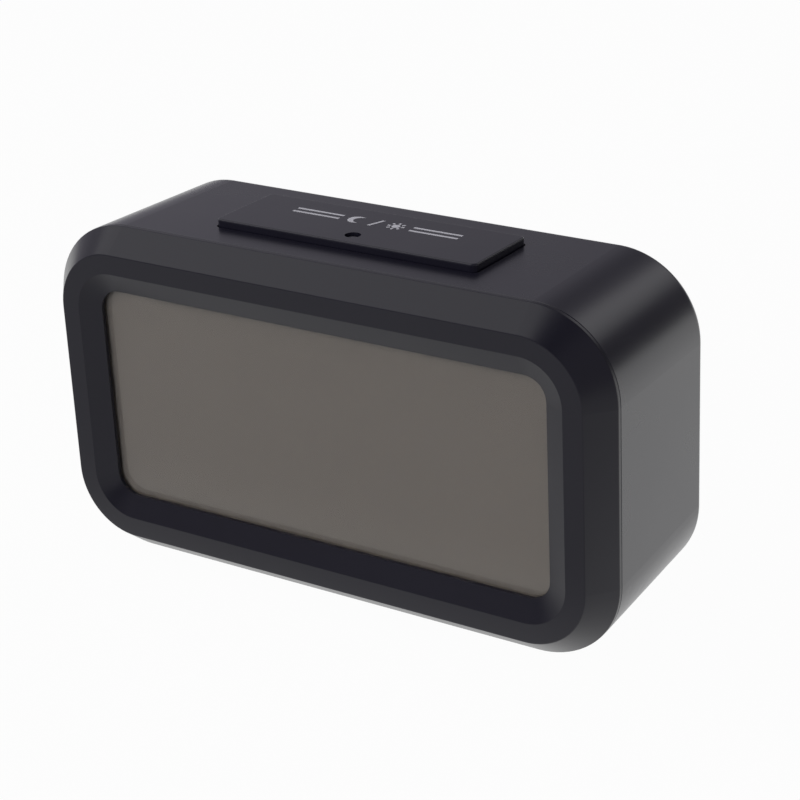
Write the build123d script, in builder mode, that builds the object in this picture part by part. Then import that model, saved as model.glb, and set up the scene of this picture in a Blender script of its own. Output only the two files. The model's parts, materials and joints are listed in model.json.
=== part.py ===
# Desk clock with a blank liquid crystal display: a bevelled front bezel on a bucket-shaped case,
# a wide snooze bar on top, a row of setting keys and a battery door at the rear.
# Millimetres. +Z is up, the display faces -Y, and the origin is under the middle of the clock.

import os
from math import atan2, cos, hypot, pi, radians, sin, tan

from build123d import *

os.makedirs("parts", exist_ok=True)

# Case, a bucket that narrows to the rear
case_width = 135.0
case_height = 75.0
case_depth = 45.0
case_wall = 2.2
case_taper = 1.3  # how far each side draws in from the seam to the rear
rear_corner_radius = 18.2
rear_edge_radius = 2.0
seam_break = 0.3
cut_overrun = 1.0
boss_root = 0.5  # how far a boss reaches into the wall that carries it

# Front bezel, one moulded section carried round the front
bezel_depth = 6.5
bezel_land = 0.8
bevel_width = 4.6
rim_width = 4.3
slope_width = 4.6
slope_depth = 2.2
lip_thickness = 0.8
window_corner_radius = 4.9
bezel_shell = 2.0
bezel_round = 0.35
tongue_length = 2.5
tongue_thickness = 1.3
tongue_clearance = 0.2
window_ledge = 2.2
window_rib = 1.7

# Screw bosses in the bezel, two rows above and below the display
boss_radius = 3.0
boss_gap = 0.6
case_boss_margin = 16.0  # from the side of the case
board_boss_spread = 24.0
boss_reach = 3.5  # how far the case bosses stand behind the seam

# Screws
screw_radius = 1.1
screw_clearance = 0.2
screw_grip = 0.05  # between a screw and the hole that it taps
screw_tip_room = 0.4
case_screw_length = 9.5
case_screw_head_radius = 2.0
case_screw_head_height = 1.5
case_screw_seat = 3.0
screw_bore_radius = 2.3
small_screw_length = 5.0
small_screw_head_radius = 1.9
small_screw_head_height = 1.2

# Display stack, from the window back to the main board
window_thickness = 1.5
window_clearance = 0.15
window_air = 0.3
polariser_thickness = 0.2
polariser_bearing = 0.8
polariser_margin = 0.5
glass_thickness = 1.1
glass_side_gap = 3.3
glass_ledge = 3.5
board_gap = 0.2
zebra_width = 2.0
zebra_length = 44.0
guide_thickness = 3.2
guide_clearance = 0.15
sheet_thickness = 0.2
tray_wall = 0.8
tray_floor = 1.2
lamp_room = 2.4
lamp_depth = 1.8
lamp_width = 3.2
lamp_thickness = 2.4
lamp_pitch = 15.0

# Main board and what stands on it
board_thickness = 1.6
board_ear_radius = 2.5
chip_radius = 7.0
chip_height = 2.0
chip_across = 0.0
chip_up = -7.0
crystal_radius = 1.1
crystal_length = 6.2
crystal_across = 11.0
crystal_up = -7.0
capacitor_radius = 2.5
capacitor_height = 7.0
capacitor_edge_radius = 0.35
capacitor_across = 30.0
capacitor_up = 8.0
thermistor_radius = 1.4
thermistor_stand = 3.0
thermistor_lead = 0.5
thermistor_side_margin = 16.5
thermistor_base_margin = 7.0

# Tactile switches, alike under every key
switch_size = 6.0
switch_height = 3.4
plunger_radius = 1.7
plunger_stand = 1.0
plunger_sink = 0.9
plunger_gap = 0.1
plunger_floor = 0.3
key_travel = 0.5
small_board_thickness = 1.2
small_post_radius = 2.4

# Snooze bar on the sloping top, and the board under it
button_setback = 25.0  # from the front rim to the middle of the bar
button_end_margin = 36.0  # from each side of the case to the end of the bar
button_length = 20.2
button_rise = 1.7
button_corner_radius = 1.3
button_edge_radius = 0.4
button_gap = 0.3
button_top = 1.6
button_side = 1.4
button_flange = 1.2
button_flange_thickness = 1.0
flange_play = 0.1
button_pusher_width = 4.0
button_pusher_reach = 0.8
snooze_switch_inset = 12.5
snooze_post_gap = 2.9
snooze_board_margin = 3.5
snooze_board_length = 13.0

# Light sensor in the hole of the bar
sensor_edge = 4.4  # from the bar's front edge
sensor_radius = 1.45
sensor_gap = 0.25
sensor_sink = 0.5
sensor_collar_radius = 1.75
sensor_collar_height = 1.0
sensor_body_height = 5.2
sensor_lead_radius = 0.25
sensor_lead_spread = 0.7
sensor_lead_gap = 0.05

# Rear key panel, keys and their board
panel_recess = 1.0
panel_height = 9.6
panel_margin = 8.4
key_width = 10.0
key_space = 7.0
key_height = 5.6
key_gap = 0.2
key_rise = 0.8
key_edge_radius = 0.4
key_flange = 1.0
key_flange_thickness = 0.9
key_pusher_radius = 1.6
key_pusher_reach = 0.4
key_board_height = 8.6
key_board_margin = 14.0
key_post_margin = 10.5

# Slide switch for the night light
knob_travel = 2.5
knob_width = 3.6
knob_height = 3.0
knob_rise = 0.9
knob_cover = 0.5  # how far the flange hides past each end of its opening
knob_flange_height = 5.2
knob_flange_thickness = 0.8
knob_tongue_width = 1.6
knob_tongue_sink = 0.9
slide_body_width = 8.6
slide_body_height = 4.4
slide_floor = 0.3

# Battery bay for three AAA cells
cell_radius = 5.25
cell_length = 44.5
cell_nub_radius = 1.9
cell_nub_length = 1.2
cell_pitch = 11.0
cell_play = 0.4
bay_side_play = 0.35
bay_rise = 3.6  # from the case's floor to the bay's box
bay_wall = 1.4
bay_rib_width = 1.6
bay_rib_height = 2.0
bay_rib_inset = 4.0
plate_thickness = 0.4
plate_width = 8.0
plate_height = 9.0
tag_width = 2.4
tag_reach = 3.0
tag_gap = 0.2
spring_length = 5.5
spring_wire_radius = 0.3
spring_base_radius = 3.4
spring_tip_radius = 2.2
spring_turns = 3
spring_end_gap = 0.05

# Battery door, which swings out on its round lower edge
door_ledge = 2.4
door_thickness = 1.6
door_edge_land = 0.1  # flat left between the two rounds of the lower edge
door_gap = 0.2
door_seat_gap = 0.1
door_corner_radius = 1.5
tab_spread = 15.0
tab_width = 7.0
tab_thickness = 1.4
tab_drop = 1.8
tab_neck = 1.4
tab_clearance = 0.25
latch_width = 11.0
latch_reach = 2.6
latch_thickness = 1.2
latch_nose = 0.7
latch_clearance = 0.2
notch_radius = 6.5
notch_depth = 1.1
grip_count = 4
grip_width = 14.0
grip_height = 0.8
grip_pitch = 1.8
grip_depth = 0.4
grip_drop = 5.0

# Sounder behind its holes
sounder_drop = 5.0
sounder_ring_radius = 11.5
sounder_ring_wall = 2.4
sounder_ring_height = 2.4
sounder_disc_radius = 10.5
sounder_disc_thickness = 0.3
sounder_chip_radius = 7.5
sounder_chip_thickness = 0.25
sound_hole_radius = 0.8
sound_hole_circle = 4.2
sound_hole_count = 6

# Rubber feet, level under the sloping base
foot_radius = 4.2
foot_thickness = 1.2
foot_recess = 0.5
foot_gap = 0.1
foot_seat_wall = 0.9
foot_margin = 21.5  # from the side of the case
front_foot_setback = 14.0
rear_foot_margin = 8.0  # from the rear of the case

# Wires and ribbons
wire_radius = 0.6
ribbon_width = 9.0
ribbon_thickness = 0.6
ribbon_spread = 9.0
ribbon_drop = 10.0
ribbon_edge = 1.5  # above the lower edge of the key board
lead_shift = 6.0  # how far a lead moves aside on its way to the main board
bend_share = 0.45  # part of the shorter run that a bend may use

# Sizes that follow from those above
corner_radius = window_corner_radius + slope_width + rim_width + bevel_width
stand_height = foot_thickness - foot_recess
mid_height = stand_height + case_height / 2
rim_inset = bevel_width + rim_width
lip_inset = rim_inset + slope_width
seat_inset = lip_inset - window_ledge
rib_inset = seat_inset - window_rib
bevel_run = bezel_depth - bezel_land
tongue_outer = case_wall + tongue_clearance
tongue_inner = tongue_outer + tongue_thickness
boss_row = case_height / 2 - tongue_inner - boss_gap - boss_radius
case_boss_spread = case_width / 2 - case_boss_margin
boss_end = bezel_depth + boss_reach
screw_seat = boss_end + case_screw_seat

lip_back = slope_depth + lip_thickness
rib_back = lip_back + window_thickness + window_air
glass_front = rib_back + polariser_thickness
glass_split = glass_front + glass_thickness
glass_back = glass_split + glass_thickness
tray_front = glass_back + polariser_thickness
sheet_front = tray_front + guide_thickness
tray_bottom = sheet_front + sheet_thickness
board_seat = tray_bottom + tray_floor
board_back = board_seat + board_thickness

view_width = case_width - 2 * seat_inset
view_height = case_height - 2 * seat_inset
glass_width = case_width - 2 * (tongue_inner + glass_side_gap)
glass_height = 2 * (boss_row - boss_radius - board_gap)
back_glass_width = glass_width - 2 * glass_ledge
thermistor_across = glass_width / 2 - thermistor_side_margin
thermistor_up = thermistor_base_margin - glass_height / 2
pocket_width = back_glass_width - 2 * tray_wall
pocket_height = glass_height - 2 * tray_wall
guide_width = pocket_width - lamp_room - guide_clearance
guide_height = pocket_height - 2 * guide_clearance
guide_shift = (lamp_room - guide_clearance) / 2

taper_angle = atan2(case_taper, case_depth - bezel_depth)
button_width = case_width - 2 * button_end_margin
button_flange_top = -(case_wall + flange_play)
button_bottom = button_flange_top - button_flange_thickness
snooze_plunger_top = button_bottom - button_pusher_reach
snooze_switch_top = snooze_plunger_top - plunger_stand
snooze_board_top = snooze_switch_top - switch_height
snooze_board_bottom = snooze_board_top - small_board_thickness
snooze_switch_spread = button_width / 2 - snooze_switch_inset
snooze_post_spread = button_width / 2 + button_flange + snooze_post_gap + small_post_radius
snooze_board_width = 2 * (snooze_post_spread + snooze_board_margin)
sensor_offset = sensor_edge - button_length / 2

control_pitch = key_width + key_space
panel_floor = -panel_recess
panel_back = panel_floor - case_wall
key_flange_top = panel_back - flange_play
key_flange_bottom = key_flange_top - key_flange_thickness
key_plunger_top = key_flange_bottom - key_pusher_reach
key_switch_top = key_plunger_top - plunger_stand
key_board_top = key_switch_top - switch_height
key_board_bottom = key_board_top - small_board_thickness
panel_half = 2 * control_pitch + panel_margin
key_board_width = 2 * (2 * control_pitch + key_board_margin)
key_post_spread = 2 * control_pitch + key_post_margin
knob_place = 2 * control_pitch
knob_rest = knob_place - knob_travel / 2
knob_flange_width = knob_width + 2 * (knob_travel + knob_cover)

bay_length = cell_length + spring_length + 2 * plate_thickness
bay_height = 2 * (cell_pitch + cell_radius + bay_side_play)
bay_depth = 2 * cell_radius + cell_play
bay_mouth = -(door_thickness + door_seat_gap)
bay_floor = bay_mouth - bay_depth
bay_skirt = door_ledge + bay_wall
inner_side = case_width / 2 - case_wall - case_taper
inner_top = case_height / 2 - case_wall - case_taper
bay_drop = inner_top - bay_rise - bay_skirt - bay_height / 2
panel_up = (inner_top + bay_height / 2 + bay_skirt - bay_drop) / 2
sounder_across = (inner_side + bay_length / 2 + bay_skirt) / 2
door_width = bay_length + 2 * door_ledge
door_height = bay_height + 2 * door_ledge
door_bottom = -bay_drop - door_height / 2
door_top = -bay_drop + door_height / 2
hinge_level = -door_thickness / 2
hinge_height = door_bottom + door_thickness / 2
tab_top = -(case_wall + tab_clearance)
tab_bottom = tab_top - tab_thickness
tab_sweep = hypot(tab_bottom - hinge_level, tab_drop + door_thickness / 2)
cell_level = bay_floor + cell_radius + cell_play / 2


# Planes. Local x and y run across and up the face, and local z points out of the clock
def front_plane(depth):
    """Plane at a depth behind the front rim, facing the front."""
    return Plane(origin=(0, depth - case_depth / 2, mid_height), x_dir=(1, 0, 0), z_dir=(0, -1, 0))


def rear_plane(height):
    """Plane at a height over the rear wall, facing the rear, with x to the right of someone behind it."""
    return Plane(origin=(0, case_depth / 2 + height, mid_height), x_dir=(-1, 0, 0), z_dir=(0, 1, 0))


def top_plane(height):
    """Plane at a height over the sloping top, square to it, under the middle of the snooze bar."""
    drop = (button_setback - bezel_depth) * tan(taper_angle)
    skin = mid_height + case_height / 2 - drop
    back = button_setback - case_depth / 2
    origin = (0, back + height * sin(taper_angle), skin + height * cos(taper_angle))
    return Plane(origin=origin, x_dir=(1, 0, 0), z_dir=(0, sin(taper_angle), cos(taper_angle)))


def cell_plane(across, row):
    """Plane square to a battery cell's axis, facing +X, with its origin on that axis."""
    height = mid_height - bay_drop + row * cell_pitch
    return Plane(origin=(across, case_depth / 2 + cell_level, height), x_dir=(0, 1, 0), z_dir=(1, 0, 0))


def case_outline(depth, inset):
    """Width, height and corner radius of the case at a depth, drawn in by an inset."""
    along = (depth - bezel_depth) / (case_depth - bezel_depth)
    drawn_in = inset + case_taper * along
    radius = corner_radius + (rear_corner_radius - corner_radius) * along
    return case_width - 2 * drawn_in, case_height - 2 * drawn_in, radius - inset


# Features that repeat, added to the part that is being built
def slab(plane, width, height, thickness, corner=0, middle=(0, 0), mode=Mode.ADD):
    """A flat plate or pocket that goes into the clock from a plane."""
    with BuildSketch(plane) as profile:
        with Locations(middle):
            if corner:
                RectangleRounded(width, height, corner)
            else:
                Rectangle(width, height)
    extrude(profile.sketch, amount=-thickness, mode=mode)


def rods(plane, places, radius, length, mode=Mode.ADD):
    """Round rods or holes that go into the clock from a plane."""
    with BuildSketch(plane) as profile:
        with Locations(*places):
            Circle(radius)
    extrude(profile.sketch, amount=-length, mode=mode)


def switch_bodies(plane_at, top, places):
    """Square switch bodies, each with the bore that its plunger runs in."""
    for place in places:
        slab(plane_at(top), switch_size, switch_size, switch_height, middle=place)
    rods(plane_at(top), places, plunger_radius + plunger_gap, plunger_sink + key_travel + plunger_floor,
         mode=Mode.SUBTRACT)


def plungers(plane_at, top, places):
    """Switch plungers from under a key down into their bores."""
    rods(plane_at(top), places, plunger_radius, plunger_stand + plunger_sink)


def small_screws(plane_at, seat, places):
    """Screws put in from the inside of a board, with their heads on its inner face."""
    rods(plane_at(seat), places, small_screw_head_radius, small_screw_head_height)
    rods(plane_at(seat + small_screw_length), places, screw_radius, small_screw_length)


def door_plate(grow, thickness, mode=Mode.ADD):
    """The battery door's plate, or its recess when grown by a gap, with round upper corners."""
    with BuildSketch(rear_plane(0)) as profile:
        with Locations(bay_middle):
            Rectangle(door_width + 2 * grow, door_height + 2 * grow)
        fillet(profile.vertices().group_by(Axis.Y)[-1], door_corner_radius + grow)
    extrude(profile.sketch, amount=-thickness, mode=mode)


def grid(across, up):
    """The four places of a two by two pattern."""
    return [(x, y) for x in (-across, across) for y in (-up, up)]


def finish(piece, name):
    """Name a piece and write it."""
    piece.part.label = name
    export_step(piece.part, f"parts/{name}.step")


case_boss_places = grid(case_boss_spread, boss_row)
board_boss_places = grid(board_boss_spread, boss_row)
snooze_switch_places = [(-snooze_switch_spread, 0), (snooze_switch_spread, 0)]
snooze_post_places = [(-snooze_post_spread, 0), (snooze_post_spread, 0)]
key_places = [((column - 2) * control_pitch, panel_up) for column in range(4)]
key_post_places = [(-key_post_spread, panel_up), (key_post_spread, panel_up)]
sounder_place = (sounder_across, -sounder_drop)
panel_middle = (0, panel_up)
bay_middle = (0, -bay_drop)
tab_places = (-tab_spread, tab_spread)

# Front bezel: the moulding's section, drawn as inset from the side and depth from the rim
shell_across = bezel_shell * hypot(bevel_width, bevel_run) / bevel_run


def bevel_back(depth):
    """Inset of the bevel's inner face at a depth."""
    return bevel_width * (1 - depth / bevel_run) + shell_across


tongue_root = bevel_run * (1 - (tongue_inner - shell_across) / bevel_width)
bezel_section = [
    (0, bezel_depth),
    (0, bevel_run),
    (bevel_width, 0),
    (rim_inset, 0),
    (lip_inset, slope_depth),
    (lip_inset, lip_back),
    (seat_inset, lip_back),
    (seat_inset, rib_back),
    (rib_inset, rib_back),
    (rib_inset, bezel_shell),
    (bevel_back(bezel_shell), bezel_shell),
    (tongue_inner, tongue_root),
    (tongue_inner, bezel_depth + tongue_length),
    (tongue_outer, bezel_depth + tongue_length),
    (tongue_outer, bezel_depth),
]
rounded_corners = bezel_section[1:4]

with BuildPart() as front_bezel:
    with BuildLine(front_plane(0)) as bezel_path:
        FilletPolyline(
            (0, -case_height / 2),
            (case_width / 2, -case_height / 2),
            (case_width / 2, case_height / 2),
            (-case_width / 2, case_height / 2),
            (-case_width / 2, -case_height / 2),
            radius=[0, corner_radius, corner_radius, corner_radius, corner_radius],
            close=True,
        )
    section_origin = (0, -case_depth / 2, stand_height)
    with BuildSketch(Plane(origin=section_origin, x_dir=(0, 0, 1), z_dir=(-1, 0, 0))) as section:
        with BuildLine():
            Polyline(*bezel_section, close=True)
        make_face()
        corners = [section.vertices().sort_by_distance(corner)[0] for corner in rounded_corners]
        fillet(corners, bezel_round)
    sweep(path=bezel_path.wires()[0])
    boss_start = bezel_shell - boss_root
    rods(front_plane(boss_start), case_boss_places, boss_radius, boss_end - boss_start)
    rods(front_plane(boss_start), board_boss_places, boss_radius, board_seat - boss_start)
    case_tap = case_screw_length - case_screw_seat + screw_tip_room
    board_tap = small_screw_length - board_thickness + screw_tip_room
    tap_radius = screw_radius + screw_grip
    rods(front_plane(boss_end - case_tap), case_boss_places, tap_radius, case_tap, mode=Mode.SUBTRACT)
    rods(front_plane(board_seat - board_tap), board_boss_places, tap_radius, board_tap, mode=Mode.SUBTRACT)
finish(front_bezel, "front_bezel")

# Rear case
with BuildPart() as rear_case:
    with BuildSketch(front_plane(bezel_depth)):
        RectangleRounded(*case_outline(bezel_depth, seam_break))
    with BuildSketch(front_plane(bezel_depth + seam_break)):
        RectangleRounded(*case_outline(bezel_depth + seam_break, 0))
    with BuildSketch(front_plane(case_depth)):
        RectangleRounded(*case_outline(case_depth, 0))
    loft(ruled=True)
    fillet(rear_case.faces().sort_by(Axis.Y)[-1].edges(), rear_edge_radius)
    with BuildSketch(front_plane(bezel_depth)):
        RectangleRounded(*case_outline(bezel_depth, case_wall))
    with BuildSketch(front_plane(case_depth - case_wall)):
        RectangleRounded(*case_outline(case_depth - case_wall, case_wall))
    loft(ruled=True, mode=Mode.SUBTRACT)

    # Opening for the snooze bar, and the posts that its board hangs on
    slab(top_plane(cut_overrun), button_width + 2 * button_gap, button_length + 2 * button_gap,
         case_wall + 2 * cut_overrun, corner=button_corner_radius + button_gap, mode=Mode.SUBTRACT)
    snooze_post_top = boss_root - case_wall
    rods(top_plane(snooze_post_top), snooze_post_places, small_post_radius, snooze_post_top - snooze_board_top)
    small_tap = small_screw_length - small_board_thickness + screw_tip_room
    rods(top_plane(snooze_board_top + small_tap), snooze_post_places, tap_radius, small_tap,
         mode=Mode.SUBTRACT)

    # Recessed key panel with its keys' openings, and the posts of the key board
    pad_top = boss_root - case_wall
    slab(rear_plane(pad_top), 2 * panel_half, panel_height, pad_top - panel_back, middle=panel_middle)
    with BuildSketch(rear_plane(0)):
        with Locations(panel_middle):
            SlotOverall(2 * panel_half, panel_height)
    extrude(amount=-panel_recess, mode=Mode.SUBTRACT)
    with BuildSketch(rear_plane(0)):
        with Locations(*key_places):
            SlotOverall(key_width + 2 * key_gap, key_height + 2 * key_gap)
        with Locations((knob_place, panel_up)):
            Rectangle(knob_width + knob_travel + 2 * key_gap, knob_height + 2 * key_gap)
    extrude(amount=panel_back - cut_overrun, mode=Mode.SUBTRACT)
    rods(rear_plane(pad_top), key_post_places, small_post_radius, pad_top - key_board_top)
    rods(rear_plane(key_board_top + small_tap), key_post_places, tap_radius, small_tap, mode=Mode.SUBTRACT)

    # Battery bay: a box on the rear wall, hollowed from the rear, with a ledge that the door rests on
    slab(rear_plane(pad_top), bay_length + 2 * bay_skirt, bay_height + 2 * bay_skirt,
         pad_top - bay_floor + bay_wall, middle=bay_middle)
    door_plate(door_gap, -bay_mouth, mode=Mode.SUBTRACT)
    slab(rear_plane(0), bay_length, bay_height, -bay_floor, middle=bay_middle, mode=Mode.SUBTRACT)
    for row in (-1, 1):
        slab(rear_plane(bay_floor + bay_rib_height), cell_length - 2 * bay_rib_inset, bay_rib_width,
             bay_rib_height + boss_root, middle=(0, row * cell_pitch / 2 - bay_drop))
    slot_width = tab_width + 2 * tab_clearance
    slot_bottom = door_bottom - tab_drop - tab_clearance
    slot_end = hinge_level - tab_sweep - tab_clearance
    slot_rise = -bay_drop - bay_height / 2 - slot_bottom + cut_overrun
    for place in tab_places:
        slab(rear_plane(-case_wall), slot_width, slot_rise, -case_wall - slot_end,
             middle=(place, slot_bottom + slot_rise / 2), mode=Mode.SUBTRACT)
        slab(rear_plane(bay_mouth), slot_width, door_ledge + door_gap, case_wall + bay_mouth,
             middle=(place, door_bottom + (door_ledge - door_gap) / 2), mode=Mode.SUBTRACT)
    catch_width = latch_width + 2 * latch_clearance
    catch_rise = door_ledge + latch_nose
    slab(rear_plane(-case_wall), catch_width, catch_rise, latch_reach,
         middle=(0, door_top - door_ledge + catch_rise / 2), mode=Mode.SUBTRACT)
    slab(rear_plane(bay_mouth), catch_width, door_ledge + door_gap, case_wall + bay_mouth,
         middle=(0, door_top - (door_ledge - door_gap) / 2), mode=Mode.SUBTRACT)
    with BuildSketch(rear_plane(0)):
        with Locations((0, door_top)):
            Circle(notch_radius)
    extrude(amount=-notch_depth, mode=Mode.SUBTRACT)
    tag_slot = plate_thickness + 2 * tag_gap
    for side in (-1, 1):
        slab(rear_plane(bay_floor), tag_slot, tag_width + 2 * tag_gap, bay_wall + cut_overrun,
             middle=(side * (bay_length - tag_slot) / 2, side * cell_pitch - bay_drop), mode=Mode.SUBTRACT)

    # Screw posts, the sounder's ring and holes, and the seats of the feet
    rods(front_plane(boss_end), case_boss_places, boss_radius, case_depth - case_wall + boss_root - boss_end)
    with Locations(rear_plane(0)):
        with Locations(*case_boss_places):
            CounterBoreHole(screw_radius + screw_clearance, screw_bore_radius, case_depth - screw_seat,
                            case_depth - boss_end + cut_overrun)
    with BuildSketch(rear_plane(pad_top)):
        with Locations(sounder_place):
            Circle(sounder_ring_radius)
            Circle(sounder_ring_radius - sounder_ring_wall, mode=Mode.SUBTRACT)
    extrude(amount=-(sounder_ring_height + boss_root))
    with BuildSketch(rear_plane(0)):
        with Locations(sounder_place):
            Circle(sound_hole_radius)
            with PolarLocations(sound_hole_circle, sound_hole_count):
                Circle(sound_hole_radius)
    extrude(amount=-(case_wall + cut_overrun), mode=Mode.SUBTRACT)
    foot_places = [
        (side * (case_width / 2 - foot_margin), back)
        for side in (-1, 1)
        for back in (front_foot_setback - case_depth / 2, case_depth / 2 - rear_foot_margin)
    ]
    with BuildSketch(Plane.XY.offset(stand_height)):
        with Locations(*foot_places):
            Circle(foot_radius + foot_gap + foot_seat_wall)
    extrude(amount=case_wall)
    with BuildSketch(Plane.XY.offset(stand_height)):
        with Locations(*foot_places):
            Circle(foot_radius + foot_gap)
    extrude(amount=foot_recess, mode=Mode.SUBTRACT)
finish(rear_case, "rear_case")

# Rubber feet
with BuildPart() as rubber_feet:
    with BuildSketch(Plane.XY):
        with Locations(*foot_places):
            Circle(foot_radius)
    extrude(amount=foot_thickness)
finish(rubber_feet, "rubber_feet")

# Case screws, deep in the rear posts
with BuildPart() as case_screws:
    rods(front_plane(screw_seat), case_boss_places, case_screw_head_radius, case_screw_head_height)
    rods(front_plane(screw_seat - case_screw_length), case_boss_places, screw_radius, case_screw_length)
finish(case_screws, "case_screws")

# Display window and the films and glass behind it
with BuildPart() as display_window:
    slab(front_plane(lip_back), view_width - 2 * window_clearance, view_height - 2 * window_clearance,
         window_thickness, corner=corner_radius - seat_inset - window_clearance)
finish(display_window, "display_window")

with BuildPart() as front_polariser:
    slab(front_plane(rib_back), view_width + 2 * polariser_bearing, glass_height, polariser_thickness)
finish(front_polariser, "front_polariser")

with BuildPart() as lcd_glass:
    slab(front_plane(glass_front), glass_width, glass_height, glass_thickness)
    slab(front_plane(glass_split), back_glass_width, glass_height, glass_thickness)
finish(lcd_glass, "lcd_glass")

with BuildPart() as rear_polariser:
    slab(front_plane(glass_back), back_glass_width - 2 * polariser_margin, glass_height - 2 * polariser_margin,
         polariser_thickness)
finish(rear_polariser, "rear_polariser")

with BuildPart() as zebra_strips:
    zebra_spread = (glass_width + back_glass_width) / 4
    for side in (-1, 1):
        slab(front_plane(glass_split), zebra_width, zebra_length, board_seat - glass_split,
             middle=(side * zebra_spread, 0))
finish(zebra_strips, "zebra_strips")

# Backlight
with BuildPart() as backlight_tray:
    slab(front_plane(tray_front), back_glass_width, glass_height, board_seat - tray_front)
    slab(front_plane(tray_front), pocket_width, pocket_height, tray_bottom - tray_front, mode=Mode.SUBTRACT)
finish(backlight_tray, "backlight_tray")

with BuildPart() as light_guide:
    slab(front_plane(tray_front), guide_width, guide_height, guide_thickness, middle=(guide_shift, 0))
finish(light_guide, "light_guide")

with BuildPart() as reflector_sheet:
    slab(front_plane(sheet_front), guide_width, guide_height, sheet_thickness, middle=(guide_shift, 0))
finish(reflector_sheet, "reflector_sheet")

with BuildPart() as backlight_leds:
    lamp_across = (lamp_room - pocket_width) / 2
    for row in (-1, 0, 1):
        slab(front_plane(tray_bottom - lamp_thickness), lamp_depth, lamp_width, lamp_thickness,
             middle=(lamp_across, row * lamp_pitch))
finish(backlight_leds, "backlight_leds")

# Main board, with an ear at each of its screws
with BuildPart() as main_board:
    with BuildSketch(front_plane(board_seat)):
        Rectangle(glass_width, glass_height)
        with Locations(*grid(board_boss_spread, glass_height / 2)):
            Rectangle(2 * board_ear_radius, 2 * boss_row - glass_height)
        with Locations(*board_boss_places):
            Circle(board_ear_radius)
            Circle(screw_radius + screw_clearance, mode=Mode.SUBTRACT)
    extrude(amount=-board_thickness)
finish(main_board, "main_board")

with BuildPart() as board_screws:
    rods(front_plane(board_back), board_boss_places, small_screw_head_radius, small_screw_head_height)
    rods(front_plane(board_back - small_screw_length), board_boss_places, screw_radius, small_screw_length)
finish(board_screws, "board_screws")

with BuildPart() as chip_cover:
    chip_origin = (chip_across, board_back - case_depth / 2, mid_height + chip_up)
    with BuildSketch(Plane(origin=chip_origin, x_dir=(1, 0, 0), z_dir=(0, 0, 1))):
        with BuildLine():
            dome_radius = (chip_radius**2 + chip_height**2) / (2 * chip_height)
            crown = Line((0, 0), (0, chip_height))
            RadiusArc(crown @ 1, (chip_radius, 0), dome_radius)
            Line((chip_radius, 0), crown @ 0)
        make_face()
    revolve(axis=Axis(chip_origin, (0, 1, 0)))
finish(chip_cover, "chip_cover")

with BuildPart() as crystal:
    crystal_origin = (crystal_across, board_back + crystal_radius - case_depth / 2, mid_height + crystal_up)
    with BuildSketch(Plane(origin=crystal_origin, x_dir=(0, 1, 0), z_dir=(1, 0, 0))):
        Circle(crystal_radius)
    extrude(amount=crystal_length)
finish(crystal, "crystal")

with BuildPart() as capacitor:
    rods(front_plane(board_back), [(capacitor_across, capacitor_up)], capacitor_radius, capacitor_height)
    fillet(capacitor.faces().sort_by(Axis.Y)[-1].edges(), capacitor_edge_radius)
finish(capacitor, "capacitor")

with BuildPart() as thermistor:
    bead_origin = (thermistor_across, board_back + thermistor_stand - case_depth / 2, mid_height + thermistor_up)
    with Locations(bead_origin):
        Sphere(thermistor_radius)
    leads = [(thermistor_across + side * thermistor_lead, thermistor_up) for side in (-1, 1)]
    rods(front_plane(board_back), leads, sensor_lead_radius, thermistor_stand)
finish(thermistor, "thermistor")

# Snooze bar: a hollow cap with a flange that catches under the top wall
with BuildPart() as snooze_button:
    slab(top_plane(button_flange_top), button_width + 2 * button_flange, button_length + 2 * button_flange,
         button_flange_thickness, corner=button_corner_radius + button_flange)
    slab(top_plane(button_rise), button_width, button_length, button_rise - button_bottom,
         corner=button_corner_radius)
    fillet(snooze_button.faces().sort_by(Axis.Z)[-1].edges(), button_edge_radius)
    ceiling = button_rise - button_top
    slab(top_plane(ceiling), button_width - 2 * button_side, button_length - 2 * button_side,
         ceiling - button_bottom, mode=Mode.SUBTRACT)
    with BuildSketch(top_plane(ceiling)):
        with Locations(*snooze_switch_places):
            Rectangle(button_pusher_width, button_pusher_width)
    extrude(amount=snooze_plunger_top - ceiling)
    rods(top_plane(button_rise), [(0, sensor_offset)], sensor_radius + sensor_gap, button_top, mode=Mode.SUBTRACT)
finish(snooze_button, "snooze_button")

with BuildPart() as snooze_plungers:
    plungers(top_plane, snooze_plunger_top, snooze_switch_places)
finish(snooze_plungers, "snooze_plungers")

with BuildPart() as snooze_switches:
    switch_bodies(top_plane, snooze_switch_top, snooze_switch_places)
finish(snooze_switches, "snooze_switches")

sensor_lead_places = [(side * sensor_lead_spread, sensor_offset) for side in (-1, 1)]
with BuildPart() as snooze_board:
    slab(top_plane(snooze_board_top), snooze_board_width, snooze_board_length, small_board_thickness)
    rods(top_plane(snooze_board_top), snooze_post_places, screw_radius + screw_clearance, small_board_thickness,
         mode=Mode.SUBTRACT)
    rods(top_plane(snooze_board_top), sensor_lead_places, sensor_lead_radius + sensor_lead_gap,
         small_board_thickness, mode=Mode.SUBTRACT)
finish(snooze_board, "snooze_board")

with BuildPart() as snooze_screws:
    small_screws(top_plane, snooze_board_bottom, snooze_post_places)
finish(snooze_screws, "snooze_screws")

with BuildPart() as light_sensor:
    sensor_crown = button_rise - sensor_sink
    sensor_foot = sensor_crown - sensor_body_height
    rods(top_plane(sensor_crown), [(0, sensor_offset)], sensor_radius, sensor_body_height)
    fillet(light_sensor.faces().sort_by(Axis.Z)[-1].edges(), sensor_radius / 2)
    rods(top_plane(sensor_foot + sensor_collar_height), [(0, sensor_offset)], sensor_collar_radius,
         sensor_collar_height)
    rods(top_plane(sensor_foot), sensor_lead_places, sensor_lead_radius, sensor_foot - snooze_board_bottom)
finish(light_sensor, "light_sensor")

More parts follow.
